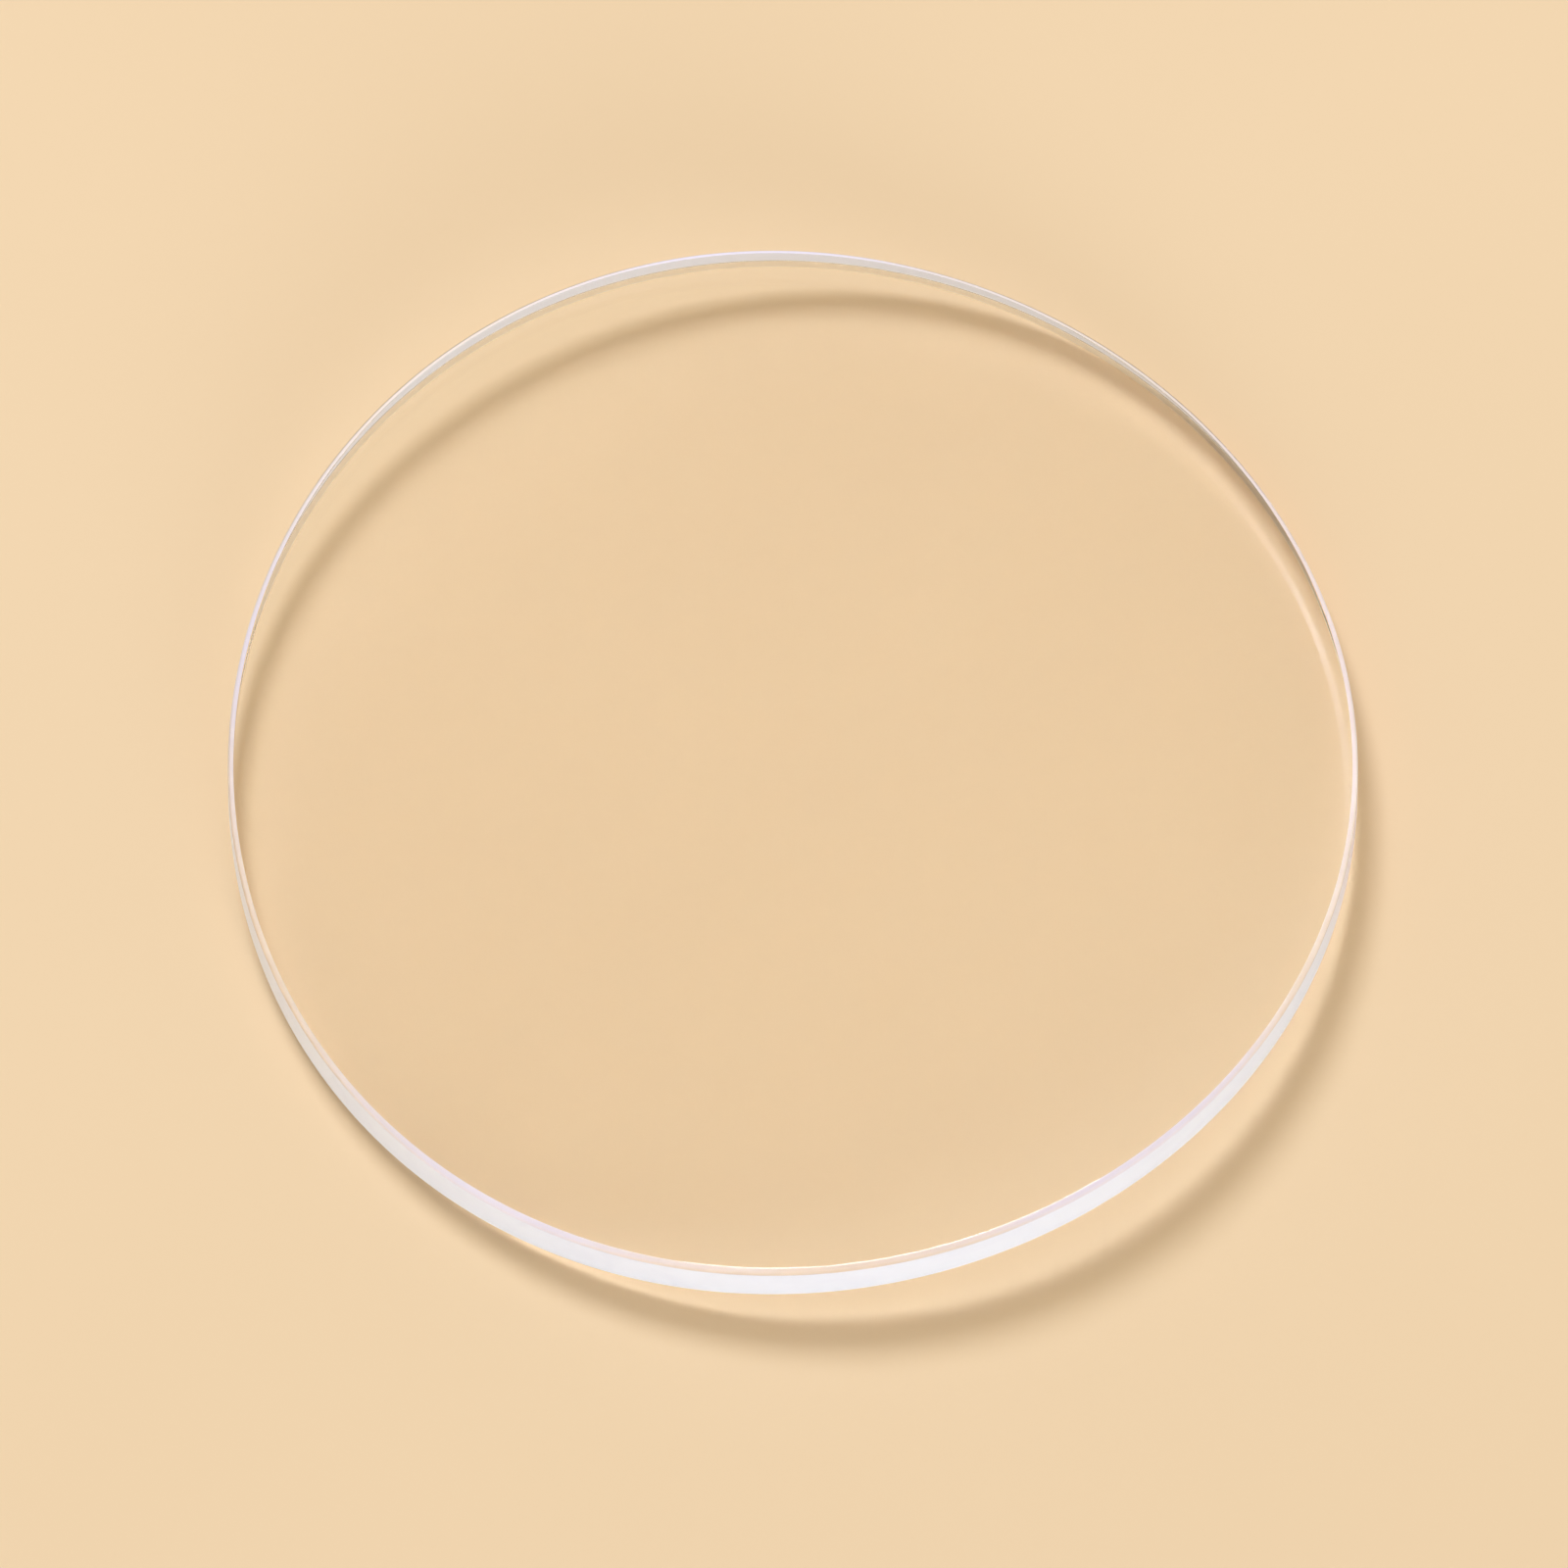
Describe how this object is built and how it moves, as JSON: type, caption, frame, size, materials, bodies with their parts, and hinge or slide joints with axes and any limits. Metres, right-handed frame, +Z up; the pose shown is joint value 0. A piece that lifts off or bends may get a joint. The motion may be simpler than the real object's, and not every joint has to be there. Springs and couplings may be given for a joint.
{
  "type": "watch crystal",
  "caption": "Clear round watch crystal bent one way over a cylinder, of even thickness, with polished faces, a ground edge and fine bevels.",
  "frame": {"origin": "centre of the round outline, at the height of the two low places of the rim that the glass rests on", "axes": "+Z up, out of the watch; X along the straight direction of the bend, whose two rim ends stand high; Y across the bend, whose two rim ends are low"},
  "size_m": [0.0304, 0.0304, 0.0027],
  "materials": {
    "clear_glass": "polished clear faces and bevels, finely ground matt edge"
  },
  "bodies": {
    "root": {"crystal": "clear_glass"}
  },
  "joints": []
}
